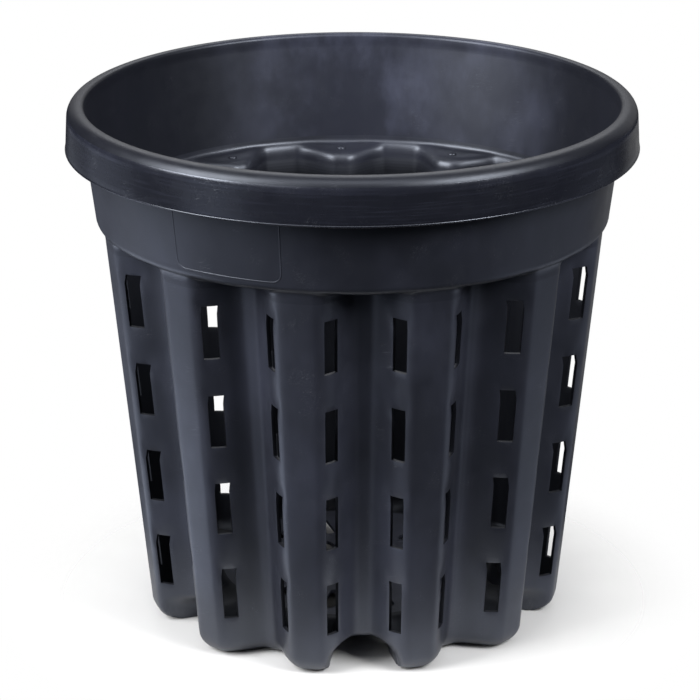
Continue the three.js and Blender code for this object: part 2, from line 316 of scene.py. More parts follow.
def mouldGrainGroup():
    tree, given, result = finishGroup("mouldGrain", ["Size", "Depth"], ["Height", "Mottle"])
    scale = calc(tree, "DIVIDE", 1, given["Size"])
    fine = noise(tree, given["Coordinates"], scale, detail=2, roughness=0.6)
    broadScale = calc(tree, "MULTIPLY", scale, grainLook["broadScale"])
    broad = noise(tree, given["Coordinates"], broadScale, detail=3)
    setSocket(tree, result["Height"], calc(tree, "MULTIPLY", fine, given["Depth"]))
    setSocket(tree, result["Mottle"], broad)
    return tree


bloomLook = {
    "streak": 2.0,  # how much longer than wide the rubbed streaks are
    "streakScale": 3,  # how much finer than the patches
    "cloudShare": 0.6,  # the rest of a patch is streaks
    "edges": (0.4, 0.66),  # where a patch begins and where it is full
}


def handlingBloomGroup():
    values = ["Patch Size", "Streak", "Haze", "Amount"]
    tree, given, result = finishGroup("handlingBloom", values, ["Mask"])
    along = calc(tree, "DIVIDE", 1, given["Streak"])
    sockets = {0: given["Coordinates"], 1: vector(tree, 1, 1, along)}
    stretched = nodeValue(tree, "ShaderNodeVectorMath", sockets, operation="MULTIPLY")
    scale = calc(tree, "DIVIDE", 1, given["Patch Size"])
    cloud = noise(tree, given["Coordinates"], scale, detail=4, roughness=0.55)
    streakScale = calc(tree, "MULTIPLY", scale, bloomLook["streakScale"])
    streak = noise(tree, stretched, streakScale, detail=4, roughness=0.6)
    share = bloomLook["cloudShare"]
    both = calc(tree, "ADD", calc(tree, "MULTIPLY", cloud, share), calc(tree, "MULTIPLY", streak, 1 - share))
    mask = mapRange(tree, both, *bloomLook["edges"], given["Haze"], 1, "SMOOTHSTEP")
    setSocket(tree, result["Mask"], calc(tree, "MULTIPLY", mask, given["Amount"]))
    return tree


scuffLook = {
    "length": 0.03,
    "slant": 0.6,
    "axis": (0.3, 0.4, 0.87),  # about which the lines are slanted
    "stretch": (0.05, 1.0, 1.0),
    "lines": 22,  # in a scuff's length
    "hair": 0.012,  # how thin a line is
    "patches": 2,  # in a scuff's length
    "edges": (0.56, 0.68),  # where a scuffed patch begins and where it is full
}


def scuffGroup():
    tree, given, result = finishGroup("scuffs", ["Length", "Slant", "Amount"], ["Mask"])
    sockets = {"Vector": given["Coordinates"], "Axis": scuffLook["axis"], "Angle": given["Slant"]}
    turned = nodeValue(tree, "ShaderNodeVectorRotate", sockets)
    sockets = {0: turned, 1: scuffLook["stretch"]}
    thin = nodeValue(tree, "ShaderNodeVectorMath", sockets, operation="MULTIPLY")
    line = noise(tree, thin, calc(tree, "DIVIDE", scuffLook["lines"], given["Length"]), detail=1)
    away = calc(tree, "ABSOLUTE", calc(tree, "SUBTRACT", line, 0.5))
    hair = mapRange(tree, away, 0, scuffLook["hair"], 1, 0)
    patchScale = calc(tree, "DIVIDE", scuffLook["patches"], given["Length"])
    patch = noise(tree, given["Coordinates"], patchScale, detail=2)
    where = mapRange(tree, patch, *scuffLook["edges"], 0, 1)
    mask = calc(tree, "MULTIPLY", calc(tree, "MULTIPLY", hair, where), given["Amount"])
    setSocket(tree, result["Mask"], mask)
    return tree


rimStreakLook = {
    "width": 0.0009,
    "length": 0.03,
    "edges": (0.5, 0.76),  # where rubbing begins and where it is full
    "rub": 0.08,
    "depth": {"crownPlastic": 0.000016, "skirtPlastic": 0.000014},
}


def rimStreakGroup():  # fine lines that run round the pot
    tree, given, result = finishGroup("rimStreaks", ["Width", "Length", "Depth"], ["Height", "Rub"])
    x, y, z = partsOf(tree, given["Coordinates"])
    square = calc(tree, "ADD", calc(tree, "MULTIPLY", x, x), calc(tree, "MULTIPLY", y, y))
    radius = calc(tree, "SQRT", square)
    turn = calc(tree, "ARCTAN2", x, calc(tree, "MULTIPLY", y, -1))
    run = calc(tree, "DIVIDE", calc(tree, "MULTIPLY", turn, rimRadius), given["Length"])
    across = calc(tree, "DIVIDE", radius, given["Width"])
    up = calc(tree, "DIVIDE", z, given["Width"])
    lines = noise(tree, vector(tree, across, up, run), scale=1, detail=2)
    setSocket(tree, result["Height"], calc(tree, "MULTIPLY", lines, given["Depth"]))
    rub = mapRange(tree, lines, *rimStreakLook["edges"], 0, rimStreakLook["rub"])
    setSocket(tree, result["Rub"], rub)
    return tree


mouldGrain = mouldGrainGroup()
handlingBloom = handlingBloomGroup()
scuffs = scuffGroup()
rimStreaks = rimStreakGroup()

plasticLook = {
    "color": (0.011, 0.012, 0.018),
    "bloomAndPaintedLightColor": (0.087, 0.095, 0.147),
    "scuffColor": (0.265, 0.28, 0.315),
    "specular": 0.95,
    "sheenTint": (0.81, 0.87, 1.0),
    "mottle": (0.3, 0.7),  # the grain's spots between these change the roughness
    "roughSpread": 0.03,  # by this much either way
    "bloomRough": 0.12,  # and full bloom adds this
    "bump": 0.6,
}
finishLook = {  # how rough a stretch of the wall is and how much of each shared finish it has
    "crownPlastic": {"rough": 0.25, "grainDepth": 0.00005, "bloom": 0.1, "patch": 0.08, "scuff": 0.25},
    "skirtPlastic": {"rough": 0.27, "grainDepth": 0.00005, "bloom": 0.02, "patch": 0.08, "scuff": 0.2},
    "collarPlastic": {"rough": 0.4, "grainDepth": 0.00003, "bloom": 0.1, "patch": 0.08, "scuff": 0.2},
    "shadedInsidePlastic": {
        "rough": 0.4,
        "grainDepth": 0.00003,
        "bloom": 0.38,  # bloom with painted light: strongest on the far side, which is painted lighter than the sides
        "shadedSideBloom": 0.02,
        "paintedLightSpan": (0.085, 0.132),  # the painted light rises from the sides to the far side, measured from the axis
        "haze": 0.3,
        "patch": 0.05,
        "scuff": 0.12,
    },
    "lobePlastic": {"rough": 0.4, "grainDepth": 0.00003, "bloom": 0.15, "patch": 0.08, "scuff": 0.2},
    "floorPlastic": {"rough": 0.5, "grainDepth": 0.00004, "bloom": 0.3, "patch": 0.04, "scuff": 0.2},
}
paintedShade = {  # painted shade: lit and shaded copies of one plastic, whose colour and sheen are scaled by this
    "crownPlastic": 0.92,
    "skirtPlastic": 0.7,
    "collarPlastic": 0.85,
    "shadedInsidePlastic": 0.52,
    "lobePlastic": 0.97,
}
# painted shade in the lobes' hollows: darker copies of the plastic
recessShadeLook = {"rough": 0.5, "grainDepth": 0.00003, "bloom": 0.0, "patch": 0.08, "scuff": 0.0}
recessShades = (0.86, 0.72, 0.58, 0.46, 0.36)  # painted shade: the inside of the lobes is painted darker in steps from the shelf down
recessShadeNames = [f"hollow{k}" for k in range(len(recessShades))]
finishLook.update(dict.fromkeys(recessShadeNames, recessShadeLook))
paintedShade.update(zip(recessShadeNames, recessShades))


def plasticMaterial(name, finish):
    material, tree, out = newMaterial(name)
    place = tree.nodes.new("ShaderNodeTexCoord").outputs["Object"]

    def shared(group, **values):
        sockets = {key.replace("_", " "): value for key, value in values.items()}
        return addNode(tree, "ShaderNodeGroup", {"Coordinates": place, **sockets}, node_tree=group).outputs

    def mixColor(factor, low, high):
        node = addNode(tree, "ShaderNodeMix", {0: factor, 6: low, 7: high}, data_type="RGBA")
        return node.outputs[2]

    grain = shared(mouldGrain, Size=grainLook["size"], Depth=finish["grainDepth"])
    amount = finish["bloom"]
    # painted light: the bloom's lighter colour rises towards the far side of the inside
    if "shadedSideBloom" in finish:
        depth = partsOf(tree, place)[1]
        amount = mapRange(tree, depth, *finish["paintedLightSpan"], finish["shadedSideBloom"], amount, "SMOOTHSTEP")
    bloom = shared(
        handlingBloom,
        Patch_Size=finish["patch"],
        Streak=bloomLook["streak"],
        Haze=finish.get("haze", 0),
        Amount=amount,
    )["Mask"]
    height = grain["Height"]
    if name in rimStreakLook["depth"]:
        streaks = shared(
            rimStreaks,
            Width=rimStreakLook["width"],
            Length=rimStreakLook["length"],
            Depth=rimStreakLook["depth"][name],
        )
        bloom = calc(tree, "MAXIMUM", bloom, streaks["Rub"])
        height = calc(tree, "ADD", height, streaks["Height"])
    lines = {"Length": scuffLook["length"], "Slant": scuffLook["slant"]}
    scuff = shared(scuffs, **lines, Amount=finish["scuff"])["Mask"]
    # painted shade: the colour and the sheen are both scaled down by the finish's share
    shade = paintedShade.get(name, 1)
    base = [shade * part for part in plasticLook["color"]]
    color = mixColor(bloom, (*base, 1), (*plasticLook["bloomAndPaintedLightColor"], 1))
    color = mixColor(scuff, color, (*plasticLook["scuffColor"], 1))
    low, high = (finish["rough"] + side * plasticLook["roughSpread"] for side in (-1, 1))
    rough = mapRange(tree, grain["Mottle"], *plasticLook["mottle"], low, high)
    rough = calc(tree, "ADD", rough, calc(tree, "MULTIPLY", bloom, plasticLook["bloomRough"]))
    relief = {"Height": height, "Strength": plasticLook["bump"], "Distance": 1.0}
    bump = addNode(tree, "ShaderNodeBump", relief)
    plastic = addNode(
        tree,
        "ShaderNodeBsdfPrincipled",
        {
            "Base Color": color,
            "Roughness": rough,
            "Specular IOR Level": shade * plasticLook["specular"],
            "Specular Tint": (*plasticLook["sheenTint"], 1),
            "Normal": bump.outputs[0],
        },
    )
    setSocket(tree, out["Surface"], plastic.outputs[0])
    return material


plastics = {name: plasticMaterial(name, finish) for name, finish in finishLook.items()}
print("plastics ready:", ", ".join(plastics))


# The moulded wall: one section line swept round the pot, then divided where the solids are divided

wallShape = {  # metres; pairs are at the ground and at the shelf
    "lobes": 12,
    "lobeTaper": 0.0213,
    "valleyDepth": 0.0174,
    "faceWidth": (0.011, 0.0155),
    "valleyWidth": (0.002, 0.0042),
    "slotInset": (0.0046, 0.0059),
    "slotWidth": (0.0054, 0.0064),
    "slotBase": 0.024,
    "slotHeight": 0.029,
    "slotPitch": 0.0498,
    "slotRows": 4,
    "dipDepth": 0.0012,  # the flank dips over each slot
    "dipHeight": 0.013,
    "dipCells": 2,  # over which it fades out beside the slot
    "collarRound": 0.005,
    "shelfRound": 0.004,
    "crestTurn": 50,  # degrees of the collar's rounding before the crest leaves it
    "crestLead": 0.0002,  # how far outside a lobe's face the crest is led to it
    "joint": 0.0015,  # straight stretch between a rounding and the cut beside it
    "seam": 0.0003,  # clearance between the solids
    "edgeRound": 0.0004,
    "edgeSteps": 2,
    "edgeAngle": 50,  # degrees, from which an edge is rounded
    "mergeGap": 2e-6,
}
rimShape = {"mouthRound": 0.0022, "lipWidth": 0.0012, "lipDepth": 0.00025, "lipPoints": (240, 16)}
footShape = {
    "footRound": 0.011,
    "archRound": 0.0045,
    "roundLean": 0.58,  # how far a flank moves sideways for each metre of that rounding
    "reach": 0.0088,  # from a lobe's middle to the arch beside it
    "corner": 0.0024,
    "archPower": 2.5,
    "archSplay": 6.0,
    "heel": 0.01,
}
drainShape = {
    "width": 0.007,
    "innerLength": 0.014,
    "margin": 0.009,
    "gap": 0.008,
    "middle": 0.036,
    "endTurns": (18, 42, 66, 90),  # degrees round a slot's end
    "idle": 0.3,  # width of a strip without a slot, as a share of a slot's
    "rings": (0.6, 0.3),  # radii inside the slots, as shares of where they start
}
cells = {  # in half a lobe, from the middle of its face to the middle of the valley
    "Face Cells": 4,
    "Inset Cells": 4,
    "Slot Cells": 4,
    "Flank Cells": 8,
    "Valley Cells": 2,
}
slotRowCells = 6  # down a slot, and down the bridge to the next one
regionNames = ["rim_skirt", "rim_crown", "collar", "shelf", "lobe", "foot", "floor"]
inSkirt, inCrown, inCollar, inShelf, inLobe, inFoot, inFloor = range(len(regionNames))
edgeNames = ("faceEnd", "slotNear", "slotFar", "valleyStart")
halfPitch = pi / wallShape["lobes"]


def onWall(pair, z):
    return pair[0] + (pair[1] - pair[0]) * min(max(z / shelfUnder, 0), 1)


def crestRadius(z):
    return crestTop - wallShape["lobeTaper"] * (1 - z / shelfUnder)


def valleyRadius(z):
    return crestRadius(z) - wallShape["valleyDepth"]


def straight(a, b):
    return lambda t: (a[0] + (b[0] - a[0]) * t, a[1] + (b[1] - a[1]) * t)


def arc(centre, radius, start, end):
    def at(t):
        turn = radians(start + (end - start) * t)
        return centre[0] + radius * cos(turn), centre[1] + radius * sin(turn)
    return at


def curve(a, b, c):
    return lambda t: tuple((1 - t) ** 2 * p + 2 * t * (1 - t) * q + t * t * r for p, q, r in zip(a, b, c))


def heelRise(a, b):
    return lambda t: (a[0] + (b[0] - a[0]) * t, a[1] + (b[1] - a[1]) * t * t * (3 - 2 * t))


class Section:  # rows of the wall from the skirt's lower edge to the middle of the floor
    def __init__(self):
        self.rows = []
        self.marks = {}

    def add(self, crest, valley, region, arch=None, edges=None):
        z = crest[1]
        self.rows.append((crest, valley, arch or valley, region, edges or wallEdges(z), dipAt(z, region)))

    def stretch(self, steps, crestPath, valleyPath, region, archPath=None, insetPath=None):
        for k in range(1, steps + 1):
            t = k / steps
            edges = wallEdges(crestPath(t)[1], insetPath(t) if insetPath else 0)
            self.add(crestPath(t), valleyPath(t), region, (archPath or valleyPath)(t), edges)

    def mark(self, name, ahead=0):
        self.marks[name] = len(self.rows) - 1 + ahead


# angles from a lobe's middle where its face ends, its slot lies and the valley starts
def wallEdges(z, inset=0):
    z = min(z, shelfUnder)
    lean = footShape["roundLean"] * inset
    faceHalf = max(onWall(wallShape["faceWidth"], z) / 2 - lean, wall / 4)
    valleyHalf = onWall(wallShape["valleyWidth"], z) / 2 + lean
    face = asin(faceHalf / crestRadius(z))
    near = face + onWall(wallShape["slotInset"], z) / crestRadius(z)
    far = near + onWall(wallShape["slotWidth"], z) / crestRadius(z)
    return face, near, far, halfPitch - asin(valleyHalf / valleyRadius(z))


def dipAt(z, region):  # how far the wall dips over the slot below this height
    if region != inLobe:
        return 0
    above = (z - wallShape["slotBase"]) % wallShape["slotPitch"] - wallShape["slotHeight"]
    rest = 1 - above / wallShape["dipHeight"]
    return wallShape["dipDepth"] * rest * rest if above > -1e-6 and rest > 0 else 0


def drainEdges(radius, faceHalf, valleyHalf):
    face = asin(faceHalf / radius)
    valley = halfPitch - asin(valleyHalf / radius)
    return face, face + (valley - face) / 3, face + (valley - face) * 2 / 3, valley


def rimRows(section):
    under, mouthUnder = crownRound - wall, rimShape["mouthRound"] - wall
    crownBase, top = crownLow.z, crownHigh.z
    skirt = straight((rimRadius - wall, skirtLow.z), (crownRadius - wall, crownBase))
    skirtCut = 1 - wallShape["joint"] / (crownBase - skirtLow.z)
    outer = (crownRadius - crownRound, crownBase)
    inner = (collarHigh.x + mouthUnder, top - rimShape["mouthRound"])
    cone = straight((collarHigh.x, crownBase), (shelfHigh.x, shelfUnder + wallShape["collarRound"]))
    coneCut = wallShape["joint"] / (crownBase - shelfUnder)
    section.add(skirt(0), skirt(0), inSkirt)
    for steps, path, region in [
        (4, straight(skirt(0), skirt(skirtCut)), inSkirt),
        (1, straight(skirt(skirtCut), skirt(1)), inCrown),
        (9, arc(outer, under, 0, 90), inCrown),
        (1, straight((outer[0], top - wall), (inner[0], top - wall)), inCrown),
        (5, arc(inner, mouthUnder, 90, 180), inCrown),
        (2, straight((collarHigh.x, inner[1]), cone(0)), inCrown),
        (1, straight(cone(0), cone(coneCut)), inCrown),
        (6, straight(cone(coneCut), cone(1 - coneCut)), inCollar),
        (1, straight(cone(1 - coneCut), cone(1)), inShelf),
    ]:
        section.stretch(steps, path, path, region)


def shelfRows(section):
    bend, fillet = wallShape["collarRound"], wallShape["shelfRound"]
    centre = (shelfHigh.x - bend, shelfUnder + bend)
    crestBend = arc(centre, bend, 0, -wallShape["crestTurn"])
    section.stretch(6, crestBend, arc(centre, bend, 0, -90), inShelf)
    wallTop = shelfUnder - fillet
    lip = valleyRadius(wallTop) + fillet
    crestEnd = (crestRadius(wallTop), wallTop)
    crest = curve(crestBend(1), (crestEnd[0] + wallShape["crestLead"], shelfUnder), crestEnd)
    flat = straight((centre[0], shelfUnder), (lip, shelfUnder))
    turn = arc((lip, wallTop), fillet, 90, 180)
    section.stretch(6, lambda t: crest(t / 2), flat, inShelf)
    section.stretch(6, lambda t: crest((1 + t) / 2), turn, inShelf)
    cut = wallTop - wallShape["joint"]
    section.stretch(1, wallLine(crestRadius, wallTop, cut), wallLine(valleyRadius, wallTop, cut), inShelf)
    return cut


def wallLine(radiusAt, top, low):
    return straight((radiusAt(top), top), (radiusAt(low), low))


def lobeRows(section, top):
    def run(steps, high, low):
        section.stretch(steps, wallLine(crestRadius, high, low), wallLine(valleyRadius, high, low), inLobe)

    z = wallShape["slotBase"] + (wallShape["slotRows"] - 1) * wallShape["slotPitch"] + wallShape["slotHeight"]
    run(slotRowCells, top, z)
    section.mark("Slot Top Row")
    for k in range(wallShape["slotRows"]):
        run(slotRowCells, z, z - wallShape["slotHeight"])
        z -= wallShape["slotHeight"]
        if k + 1 < wallShape["slotRows"]:
            run(slotRowCells, z, z - wallShape["slotPitch"] + wallShape["slotHeight"])
            z -= wallShape["slotPitch"] - wallShape["slotHeight"]
    run(1, z, footTop)


def footRows(section):
    bend, archBend = footShape["footRound"], footShape["archRound"]
    archTop = floorLift + archBend
    crestIn, valleyIn = crestRadius(bend) - bend, valleyRadius(bend) - bend
    archIn = valleyRadius(archTop) - archBend
    heelEnd = floorEdge + wallShape["seam"]
    padEnd = heelEnd + footShape["heel"]
    heel = heelRise((padEnd, 0), (heelEnd, floorLift))
    underFoot = (4, straight((crestIn, 0), (padEnd, 0)), straight((valleyIn, 0), (padEnd, 0)))
    for (steps, crest, valley), arch, inset in [
        (
            (2, wallLine(crestRadius, footTop, bend), wallLine(valleyRadius, footTop, bend)),
            wallLine(valleyRadius, footTop, archTop),
            lambda t: 0,
        ),
        (
            (10, arc((crestIn, bend), bend, 0, -90), arc((valleyIn, bend), bend, 0, -90)),
            arc((archIn, archTop), archBend, 0, -90),
            lambda t: bend * (1 - cos(t * pi / 2)),
        ),
        (underFoot, straight((archIn, floorLift), (padEnd, floorLift)), lambda t: bend),
        ((8, heel, heel), straight((padEnd, floorLift), (heelEnd, floorLift)), lambda t: bend),
    ]:
        section.stretch(steps, crest, valley, inFoot, arch, inset)
    return heelEnd


def floorRows(section, start):
    half = drainShape["width"] / 2
    narrow = half * drainShape["idle"]
    turns = [radians(a) for a in drainShape["endTurns"]]
    innerStart = drainShape["middle"] / 2
    innerEnd = innerStart + drainShape["innerLength"]
    outerStart = innerEnd + drainShape["gap"]
    outerEnd = floorEdge - drainShape["margin"]

    def row(radius, faceHalf, valleyHalf, region=inFloor):
        point = (radius, floorLift)
        section.add(point, point, region, point, drainEdges(radius, faceHalf, valleyHalf))

    def slotRows(high, low, write):  # a slot with round ends, from its outer end inwards
        ends = [(half * (1 - cos(turn)), half * sin(turn)) for turn in turns]
        for depth, width in ends:
            write(high - depth, width)
        for depth, width in reversed(ends):
            write(low + depth, width)

    row(start - wallShape["joint"], half, narrow, inFoot)
    row((start + outerEnd) / 2, half, narrow)
    section.mark("Drain Row", 1)
    slotRows(outerEnd, outerStart, lambda radius, width: row(radius, width, narrow))
    row((outerStart + innerEnd) / 2, narrow, narrow)
    section.mark("Inner Drain Row", 1)
    slotRows(innerEnd, innerStart, lambda radius, width: row(radius, narrow / 3, width))
    for k, share in enumerate(drainShape["rings"], 1):
        row(innerStart * share, narrow / (3 * k), narrow / (3 * k))
    middle = (0, floorLift)
    section.add(middle, middle, inFloor, middle, drainEdges(innerStart, narrow, narrow))
    section.marks["Drain Row Cells"] = 2 * len(turns) - 1


def sectionObject(section):
    mesh = bpy.data.meshes.new("section")
    mesh.from_pydata([(crest[0], 0, crest[1]) for crest, *_ in section.rows], [], [])
    columns = {"region": [row[3] for row in section.rows[1:]] + [inFloor]}
    columns["dip"] = [row[5] for row in section.rows]
    for k, name in enumerate(edgeNames):
        columns[name] = [row[4][k] for row in section.rows]
    for name, values in columns.items():
        mesh.attributes.new(name, "FLOAT", "POINT").data.foreach_set("value", values)
    for k, name in enumerate(("valley", "arch"), 1):
        line = mesh.attributes.new(name, "FLOAT_VECTOR", "POINT")
        line.data.foreach_set("vector", [v for row in section.rows for v in (row[k][0], 0, row[k][1])])
    return addObject("section", mesh)


def polarPlace(tree, radius, angle, height):  # angles run from the front, positive to the right
    ahead = calc(tree, "MULTIPLY", calc(tree, "COSINE", angle), -1)
    x = calc(tree, "MULTIPLY", radius, calc(tree, "SINE", angle))
    return vector(tree, x, calc(tree, "MULTIPLY", radius, ahead), height)


def wallTree():
    sizes = ("Foot Edge", "Floor Lift", "Foot Corner", "Arch Power", "Arch Splay")
    slotCounts = ("Slot Top Row", "Slot Row Cells", "Slot Rows")
    drainCounts = ("Drain Row", "Inner Drain Row", "Drain Row Cells")
    counts = ("Lobes", *cells, *slotCounts, *drainCounts)
    tree, given, result = shapeTree("mouldedWall", sizes, counts, ["Section"])

    def do(operation, *values):
        return calc(tree, operation, *values)

    add, minus, times, over = (partial(do, name) for name in ("ADD", "SUBTRACT", "MULTIPLY", "DIVIDE"))
    section = addNode(tree, "GeometryNodeObjectInfo", {"Object": given["Section"]}).outputs["Geometry"]
    rows = addNode(tree, "GeometryNodeAttributeDomainSize", {"Geometry": section}).outputs["Point Count"]
    index = tree.nodes.new("GeometryNodeInputIndex").outputs[0]

    def atRow(name, row, kind="FLOAT"):
        named = addNode(tree, "GeometryNodeInputNamedAttribute", {"Name": name}, data_type=kind)
        sample = {"Geometry": section, "Value": named.outputs["Attribute"], "Index": row}
        return addNode(tree, "GeometryNodeSampleIndex", sample, data_type=kind).outputs["Value"]

    # running totals of cells from a lobe's middle to the valley's middle
    ends = [0]
    for name in cells:
        ends.append(add(ends[-1], given[name]))
    half = ends[-1]
    lobeCells = times(half, 2)
    columns = times(lobeCells, given["Lobes"])
    pitch = over(2 * pi, given["Lobes"])
    valleyMiddle = over(pitch, 2)

    # where a point is: column round the pot, row down the section
    column = do("FLOOR", over(index, rows))
    row = do("MODULO", index, rows)
    lobe = do("FLOOR", over(column, lobeCells))
    signed = minus(do("MODULO", column, lobeCells), half)
    step = do("ABSOLUTE", signed)
    stations = [0, *(atRow(name, row) for name in edgeNames), valleyMiddle]
    across = 0
    for k in range(len(stations) - 1):
        share = mapRange(tree, step, ends[k], ends[k + 1], 0, minus(stations[k + 1], stations[k]))
        across = add(across, share)
    angle = add(times(lobe, pitch), times(do("SIGN", signed), across))

    # lobes: from the crest's line to the valley's line
    share = mapRange(tree, across, stations[1], stations[4], 0, pi)
    wave = over(minus(1, do("COSINE", share)), 2)

    # arches at every second valley, with a soft corner at each foot
    fromValley = minus(valleyMiddle, across)
    span = minus(valleyMiddle, given["Foot Edge"])
    reach = over(fromValley, span)
    left = do("MAXIMUM", minus(1, do("POWER", reach, given["Arch Power"])), 0)
    bow = do("POWER", left, over(1, given["Arch Power"]))
    splay = times(given["Arch Splay"], do("MAXIMUM", minus(reach, 1), 0))
    rise = times(given["Floor Lift"], minus(bow, splay))
    soft = over(given["Foot Corner"], 2)
    corner = do("MINIMUM", do("MAXIMUM", add(rise, soft), 0), given["Foot Corner"])
    cornerRise = over(times(corner, corner), times(soft, 4))
    archRise = add(cornerRise, do("MAXIMUM", minus(rise, soft), 0))
    valleyIndex = do("FLOOR", over(add(column, half), lobeCells))
    arched = times(over(archRise, given["Floor Lift"]), do("MODULO", valleyIndex, 2))

    def blend(factor, low, high):
        return add(low, times(factor, minus(high, low)))

    crest = partsOf(tree, atRow("position", row, "FLOAT_VECTOR"))
    valley = partsOf(tree, atRow("valley", row, "FLOAT_VECTOR"))
    arch = partsOf(tree, atRow("arch", row, "FLOAT_VECTOR"))

    def lobed(k):  # radius or height between the crest, the valley and the arch
        lift = times(arched, minus(arch[k], valley[k]))
        return add(blend(wave, crest[k], valley[k]), lift)

    radius, height = lobed(0), lobed(2)

    # dips over the slots
    fade = wallShape["dipCells"]
    near = mapRange(tree, step, minus(ends[2], fade), ends[2], 0, 1, "SMOOTHSTEP")
    far = mapRange(tree, step, ends[3], add(ends[3], fade), 1, 0, "SMOOTHSTEP")
    radius = minus(radius, times(atRow("dip", row), times(near, far)))
    place = polarPlace(tree, radius, angle, height)
    grid = addNode(
        tree,
        "GeometryNodeMeshGrid",
        {"Size X": 1.0, "Size Y": 1.0, "Vertices X": add(columns, 1), "Vertices Y": rows},
    ).outputs["Mesh"]
    swept = nodeValue(tree, "GeometryNodeSetPosition", {"Geometry": grid, "Position": place})

    # which region and lobe each face belongs to
    rowCells = minus(rows, 1)
    faceColumn = do("FLOOR", over(index, rowCells))
    faceRow = do("MODULO", index, rowCells)
    for name, value in [
        ("region", atRow("region", faceRow)),
        ("lobe", do("FLOOR", over(faceColumn, lobeCells))),
    ]:
        store = {"Geometry": swept, "Name": name, "Value": value}
        swept = nodeValue(tree, "GeometryNodeStoreNamedAttribute", store, data_type="INT", domain="FACE")

    # air slots on the flanks and drain slots in the floor are cells left open
    faceMiddle = add(do("MODULO", faceColumn, lobeCells), 0.5)
    cell = do("FLOOR", do("ABSOLUTE", minus(faceMiddle, half)))

    def within(value, start, length):
        past = do("GREATER_THAN", value, minus(start, 0.5))
        before = do("LESS_THAN", value, minus(add(start, length), 0.5))
        return times(past, before)

    slotStep = times(given["Slot Row Cells"], 2)
    slotSpan = minus(times(slotStep, given["Slot Rows"]), given["Slot Row Cells"])
    slotRow = do("MODULO", minus(faceRow, given["Slot Top Row"]), slotStep)
    slotted = within(faceRow, given["Slot Top Row"], slotSpan)
    inSlots = times(slotted, within(slotRow, 0, given["Slot Row Cells"]))
    airSlot = times(inSlots, within(cell, ends[2], given["Slot Cells"]))
    outerRow = within(faceRow, given["Drain Row"], given["Drain Row Cells"])
    drain = times(outerRow, within(cell, 0, ends[1]))
    faceValley = do("FLOOR", over(add(faceColumn, half), lobeCells))
    evenValley = do("LESS_THAN", do("MODULO", faceValley, 2), 0.5)
    innerRow = within(faceRow, given["Inner Drain Row"], given["Drain Row Cells"])
    innerCells = times(innerRow, within(cell, ends[4], given["Valley Cells"]))
    innerDrain = times(innerCells, evenValley)
    gone = add(airSlot, add(drain, innerDrain))
    chosen = {"Geometry": swept, "Selection": gone}
    opened = nodeValue(tree, "GeometryNodeDeleteGeometry", chosen, domain="FACE")
    joined = {"Geometry": opened, "Distance": wallShape["mergeGap"]}
    closed = nodeValue(tree, "GeometryNodeMergeByDistance", joined)
    outwards = nodeValue(tree, "GeometryNodeFlipFaces", {"Mesh": closed})
    smooth = nodeValue(tree, "GeometryNodeSetShadeSmooth", {"Geometry": outwards})
    return closeTree(tree, given, result, smooth)


def makeWall():
    section = Section()
    rimRows(section)
    cut = shelfRows(section)
    lobeRows(section, cut)
    heelEnd = footRows(section)
    floorRows(section, heelEnd)
    guide = sectionObject(section)
    footEdge = asin(footShape["reach"] / (crestRadius(0) - footShape["footRound"]))
    values = {
        "Section": guide,
        "Material": plastics["lobePlastic"],
        "Lobes": wallShape["lobes"],
        "Slot Row Cells": slotRowCells,
        "Slot Rows": wallShape["slotRows"],
        "Foot Edge": footEdge,
        "Floor Lift": floorLift,
        "Foot Corner": footShape["corner"],
        "Arch Power": footShape["archPower"],
        "Arch Splay": footShape["archSplay"],
        **cells,
        **section.marks,
    }
    obj = treeObject("mouldedWall", wallTree(), values)
    thick = obj.modifiers.new("thickness", "SOLIDIFY")
    thick.thickness = wall
    thick.offset = -1
    thick.use_even_offset = True
    thick.use_quality_normals = True
    edges = obj.modifiers.new("edges", "BEVEL")
    edges.width = wallShape["edgeRound"]
    edges.segments = wallShape["edgeSteps"]
    edges.limit_method = "ANGLE"
    edges.angle_limit = radians(wallShape["edgeAngle"])
    bakeShape(obj)
    bpy.data.objects.remove(guide)
    return obj


def pieceName(region, lobe):  # the node that a face of the wall stands for
    name = regionNames[region]
    return f"{name}_{lobe + 1:02d}" if name in ("lobe", "foot") else name


def facesByNode(mesh):
    region, lobe = ([item.value for item in mesh.attributes[name].data] for name in ("region", "lobe"))
    groups = {}
    for face in mesh.polygons:
        name = pieceName(region[face.index], lobe[face.index])
        groups.setdefault(name, []).append(tuple(face.vertices))
    return groups


def openLoops(shape):
    waiting = {edge for edge in shape.edges if edge.is_boundary}
    loops = []
    while waiting:
        loop = [waiting.pop()]
        corner = loop[0].verts[1]
        while corner is not loop[0].verts[0]:
            edge = next(e for e in corner.link_edges if e in waiting)
            waiting.remove(edge)
            loop.append(edge)
            corner = edge.other_vert(corner)
        loops.append(loop)
    return loops


def loopPlace(loop):  # mean radius and height
    points = [edge.verts[0].co for edge in loop]
    return Vector((sum(p.xy.length for p in points), sum(p.z for p in points))) / len(points)


def closeCuts(shape):  # each cut through the wall is closed between its outer and its inner edge
    loops = openLoops(shape)
    while loops:
        loop = loops.pop()
        mate = min(loops, key=lambda other: (loopPlace(other) - loopPlace(loop)).length)
        loops.remove(mate)
        bmesh.ops.bridge_loops(shape, edges=loop + mate)
    bmesh.ops.recalc_face_normals(shape, faces=shape.faces)


# which inside faces are painted with shade
recessShadeLimit = {
    "under": -0.2,  # how far down an inside face may look
    "up": 0.35,  # and from where on a face looks up
    "back": -0.002,  # from where on a face looks at its lobe's middle
    "ahead": 0.95,  # unless it looks this straight ahead
}


def looksInside(face, limit):  # whether a face looks at the pot's axis or up from inside, and so is painted with shade
    inwards = face.normal.xy.dot(face.center.xy.normalized()) < limit
    return inwards and face.normal.z > recessShadeLimit["under"] or face.normal.z > recessShadeLimit["up"]


